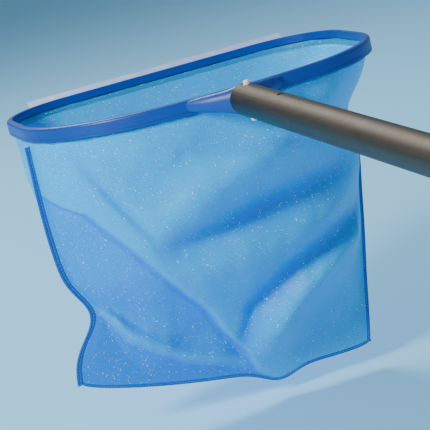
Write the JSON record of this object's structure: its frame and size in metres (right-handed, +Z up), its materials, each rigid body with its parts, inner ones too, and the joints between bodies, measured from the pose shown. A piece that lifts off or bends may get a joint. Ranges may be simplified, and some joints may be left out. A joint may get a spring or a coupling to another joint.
{
  "type": "leaf skimmer net",
  "caption": "Deep-bag leaf skimmer net: D-shaped moulded ring with a scraper lip, hanging mesh bag, and a telescopic aluminium pole held by a button clip.",
  "frame": {"origin": "on the pole's axis at the front end of the outer tube, where it meets the ring's boss", "axes": "+Y along the pole towards the net's scraper lip, +Z up out of the ring's mouth, +X along the ring's long side; the bag hangs along -Z"},
  "size_m": [0.3693, 1.0912, 0.3245],
  "materials": {
    "ring_plastic": "moulded, semi-gloss deep blue",
    "strip_plastic": "moulded, matt blue",
    "hem_mesh": "doubled woven mesh, teal blue",
    "bag_mesh": "fine translucent woven nylon mesh, sky blue",
    "seam_tape": "bound seam, mid blue",
    "lip_plastic": "flexible, milky translucent",
    "rivet_plastic": "moulded, off-white",
    "spring_steel": "rolled stainless strip",
    "button_plastic": "moulded, off-white",
    "tube_metal": "drawn and satin anodised, champagne grey",
    "lock_plastic": "moulded, matt blue",
    "collet_plastic": "moulded, natural white",
    "grip_vinyl": "soft vinyl, matt dark blue"
  },
  "bodies": {
    "net_and_pole": {"frame_ring": "ring_plastic", "hem_keeper_strip": "strip_plastic", "hem_band": "hem_mesh", "bag_front_panel": "bag_mesh", "bag_back_panel": "bag_mesh", "side_seam_left": "seam_tape", "side_seam_right": "seam_tape", "bottom_seam": "seam_tape", "scraper_lip": "lip_plastic", "lip_rivets": "rivet_plastic", "clip_spring": "spring_steel", "outer_tube": "tube_metal", "lock_body": "lock_plastic", "lock_collet": "collet_plastic"},
    "top_button": {"clip_button_top": "button_plastic"},
    "bottom_button": {"clip_button_bottom": "button_plastic"},
    "twist_collar": {"lock_collar": "lock_plastic"},
    "inner_pole": {"inner_tube": "tube_metal", "guide_bush": "lock_plastic", "hand_grip": "grip_vinyl", "end_cap": "lock_plastic"}
  },
  "joints": [
    {"name": "top_button_press", "type": "slide", "parent": "net_and_pole", "child": "top_button", "axis": [0, 0, -1], "range_m": [0, 0.0055], "stiffness_N_per_m": 1200, "springref_m": -0.002, "deforming": ["clip_spring"]},
    {"name": "bottom_button_press", "type": "slide", "parent": "net_and_pole", "child": "bottom_button", "axis": [0, 0, 1], "range_m": [0, 0.0055], "stiffness_N_per_m": 1200, "springref_m": -0.002, "deforming": ["clip_spring"]},
    {"name": "collar_twist", "type": "hinge", "parent": "net_and_pole", "child": "twist_collar", "pos_m": [0, -0.585, 0], "axis": [0, 1, 0], "range_deg": [0, 90]},
    {"name": "pole_extend", "type": "slide", "parent": "net_and_pole", "child": "inner_pole", "axis": [0, -1, 0], "range_m": [0, 0.35]}
  ]
}
